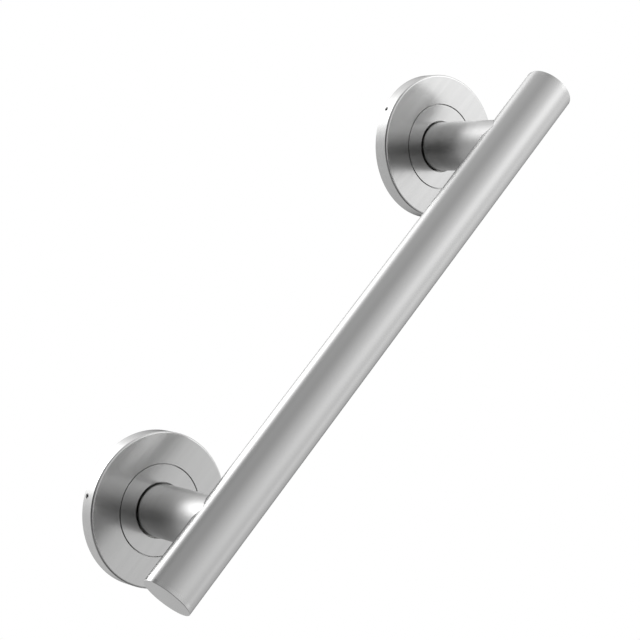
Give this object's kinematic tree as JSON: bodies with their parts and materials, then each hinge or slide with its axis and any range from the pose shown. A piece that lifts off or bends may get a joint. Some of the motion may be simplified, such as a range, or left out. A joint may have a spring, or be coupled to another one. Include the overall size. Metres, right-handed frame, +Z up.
{
  "type": "grab bar",
  "caption": "Straight round grab bar in brushed stainless steel, on saddle-cut posts that end in round wall rosettes with concealed fixing.",
  "frame": {"origin": "on the wall plane, midway between the two post axes", "axes": "+X along the bar to the right as seen from the room, +Y into the wall, +Z up"},
  "size_m": [0.41, 0.0889, 0.0934],
  "materials": {
    "brushed_tube": "satin, fine rings round the tube",
    "brushed_cap": "satin",
    "brushed_rosette": "satin, straight grain along the bar",
    "plate_steel": "turned, matt",
    "screw_steel": "plain machined",
    "gasket_rubber": "matt"
  },
  "bodies": {
    "root": {"grip_tube": "brushed_tube", "left_end_cap": "brushed_cap", "right_end_cap": "brushed_cap", "left_post": "brushed_tube", "right_post": "brushed_tube", "left_cover_ring": "brushed_rosette", "right_cover_ring": "brushed_rosette", "left_collar": "brushed_rosette", "right_collar": "brushed_rosette", "left_set_screw": "screw_steel", "right_set_screw": "screw_steel", "left_fixing_plate": "plate_steel", "right_fixing_plate": "plate_steel", "left_post_foot": "plate_steel", "right_post_foot": "plate_steel", "left_fixing_bolt": "screw_steel", "right_fixing_bolt": "screw_steel", "left_locating_pin": "screw_steel", "right_locating_pin": "screw_steel", "left_wall_gasket": "gasket_rubber", "right_wall_gasket": "gasket_rubber"}
  },
  "joints": []
}
